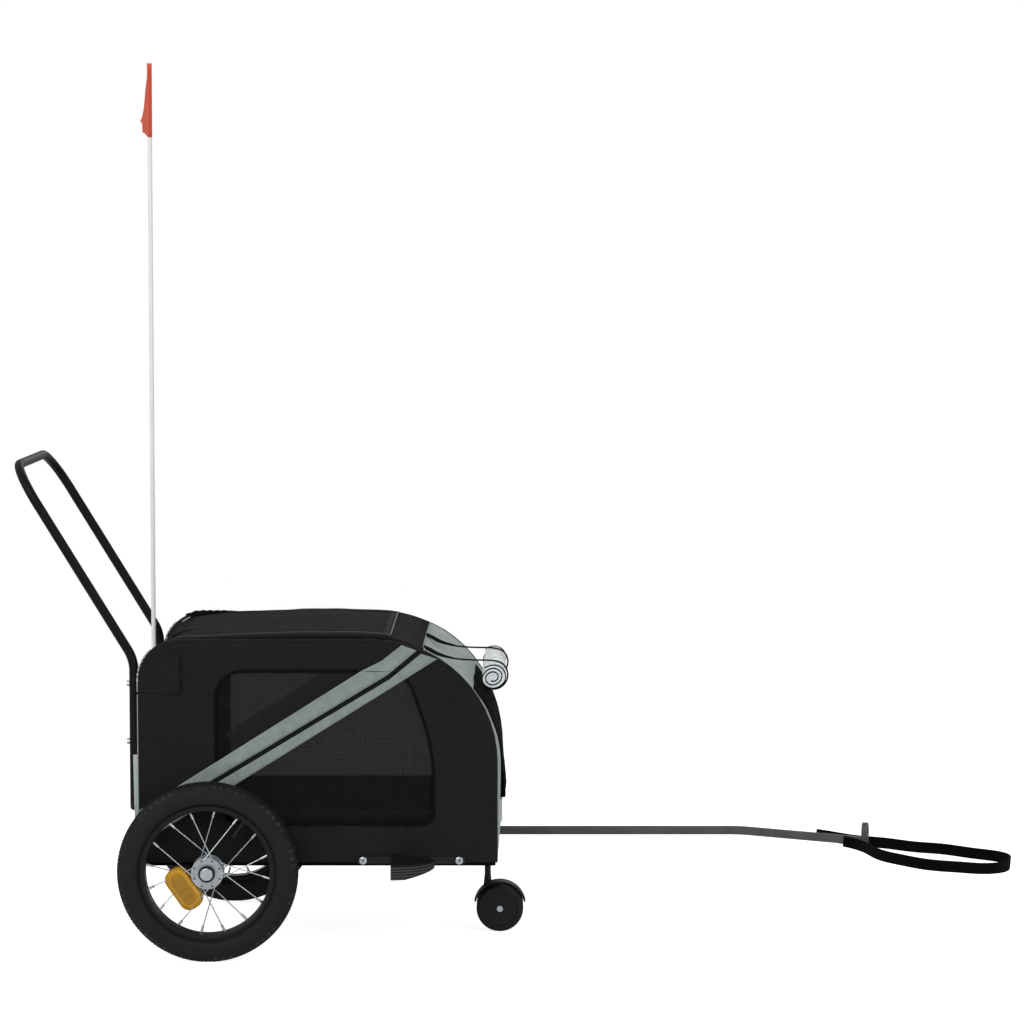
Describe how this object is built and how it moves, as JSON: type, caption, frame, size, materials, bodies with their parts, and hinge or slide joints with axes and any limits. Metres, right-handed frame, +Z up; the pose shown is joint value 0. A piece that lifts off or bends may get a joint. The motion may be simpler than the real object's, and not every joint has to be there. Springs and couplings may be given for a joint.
{
  "type": "dog bike trailer",
  "caption": "Two-wheeled pet trailer with a fabric cabin, mesh windows, front caster, push handle, flag and a side tow bar that hitches to a bicycle axle.",
  "frame": {"origin": "on the ground below the middle of the trailer's bounding box", "axes": "+X the way the trailer travels, along the tow bar; +Y its left side; +Z up"},
  "size_m": [1.7415, 0.6132, 1.538],
  "materials": {
    "frame_black": "black powder coat",
    "tow_grey": "dark grey powder coat",
    "plastic_black": "moulded, fine grain",
    "zinc": "zinc plated",
    "button_silver": "polished",
    "tyre_black": "block tread",
    "caster_rubber": "smooth tread",
    "reflector_amber": "prismatic lens",
    "reflector_clear": "prismatic lens",
    "fabric_black": "woven polyester",
    "fabric_grey": "woven polyester",
    "mesh_black": "knitted mesh",
    "cover_clear": "clear soft film",
    "webbing_black": "woven webbing and elastic cord",
    "pole_white": "white glass fibre rod",
    "flag_orange": "light nylon"
  },
  "bodies": {
    "chassis": {"rail_left": "frame_black", "rail_right": "frame_black", "front_cross_tube": "frame_black", "rear_cross_tube": "frame_black", "axle_tube": "frame_black", "hoop_left": "frame_black", "hoop_right": "frame_black", "spreader_tubes": "frame_black", "push_handle": "frame_black", "tow_clevis": "tow_grey", "handle_plugs": "plastic_black", "hoop_sockets": "plastic_black", "spreader_saddles": "plastic_black", "flag_socket": "plastic_black", "caster_bush": "plastic_black", "wheel_guard_left": "plastic_black", "wheel_guard_right": "plastic_black", "axle_pin_left": "plastic_black", "axle_pin_right": "plastic_black", "floor_board": "plastic_black", "frame_bolts": "zinc", "tow_pivot_bolt": "zinc", "front_reflectors": "reflector_clear", "side_panel_left": "fabric_black", "side_panel_right": "fabric_black", "roof_panel": "fabric_black", "floor_mat": "fabric_black", "front_panel": "fabric_grey", "rear_panel": "fabric_grey", "window_mesh_left": "mesh_black", "window_mesh_right": "mesh_black", "rain_cover_roll": "cover_clear", "cover_ties": "webbing_black"},
    "wheel_left": {"tyre_left": "tyre_black", "rim_left": "zinc", "spokes_left": "zinc", "hub_left": "zinc", "hub_bearings_left": "zinc", "wheel_reflector_left": "reflector_amber"},
    "wheel_right": {"tyre_right": "tyre_black", "rim_right": "zinc", "spokes_right": "zinc", "hub_right": "zinc", "hub_bearings_right": "zinc", "wheel_reflector_right": "reflector_amber"},
    "button_left": {"release_button_left": "button_silver"},
    "button_right": {"release_button_right": "button_silver"},
    "tow_arm": {"tow_bar": "tow_grey", "hitch_lug": "tow_grey", "safety_strap": "webbing_black"},
    "tow_knob": {"tow_clamp_knob": "plastic_black"},
    "caster_fork": {"caster_fork": "plastic_black", "caster_axle": "zinc"},
    "caster_wheel_left": {"caster_wheel_left": "caster_rubber"},
    "caster_wheel_right": {"caster_wheel_right": "caster_rubber"},
    "flag": {"flag_pole": "pole_white", "flag_pennant": "flag_orange"},
    "roof_hatch": {"roof_hatch": "fabric_black"},
    "front_door": {"front_door": "mesh_black"}
  },
  "joints": [
    {"name": "wheel_left_spin", "type": "hinge", "parent": "chassis", "child": "wheel_left", "pos_m": [-0.533, 0.277, 0.1525], "axis": [0, 1, 0], "continuous": true},
    {"name": "wheel_right_spin", "type": "hinge", "parent": "chassis", "child": "wheel_right", "pos_m": [-0.533, -0.277, 0.1525], "axis": [0, 1, 0], "continuous": true},
    {"name": "button_left_push", "type": "slide", "parent": "chassis", "child": "button_left", "axis": [0, -1, 0], "range_m": [0, 0.003], "stiffness_N_per_m": 600},
    {"name": "button_right_push", "type": "slide", "parent": "chassis", "child": "button_right", "axis": [0, 1, 0], "range_m": [0, 0.003], "stiffness_N_per_m": 600},
    {"name": "tow_arm_swing", "type": "hinge", "parent": "chassis", "child": "tow_arm", "pos_m": [-0.098, 0.195, 0.1445], "axis": [0, 0, 1], "range_deg": [-55, 90]},
    {"name": "tow_knob_turn", "type": "hinge", "parent": "chassis", "child": "tow_knob", "pos_m": [-0.098, 0.195, 0.1225], "axis": [0, 0, 1], "range_deg": [-180, 180]},
    {"name": "caster_swivel", "type": "hinge", "parent": "chassis", "child": "caster_fork", "pos_m": [-0.061, 0, 0.164], "axis": [0, 0, 1], "continuous": true},
    {"name": "caster_wheel_left_spin", "type": "hinge", "parent": "caster_fork", "child": "caster_wheel_left", "pos_m": [-0.0395, 0, 0.0415], "axis": [0, 1, 0], "continuous": true},
    {"name": "caster_wheel_right_spin", "type": "hinge", "parent": "caster_fork", "child": "caster_wheel_right", "pos_m": [-0.0395, 0, 0.0415], "axis": [0, 1, 0], "continuous": true},
    {"name": "flag_lift", "type": "slide", "parent": "chassis", "child": "flag", "axis": [0, 0, 1], "range_m": [0, 0.09]},
    {"name": "roof_hatch_open", "type": "hinge", "parent": "chassis", "child": "roof_hatch", "pos_m": [-0.5914, 0, 0.541], "axis": [0, -1, 0], "range_deg": [0, 100]},
    {"name": "front_door_open", "type": "hinge", "parent": "chassis", "child": "front_door", "pos_m": [-0.06509, 0, 0.4234], "axis": [0, -1, 0], "range_deg": [0, 80]}
  ]
}
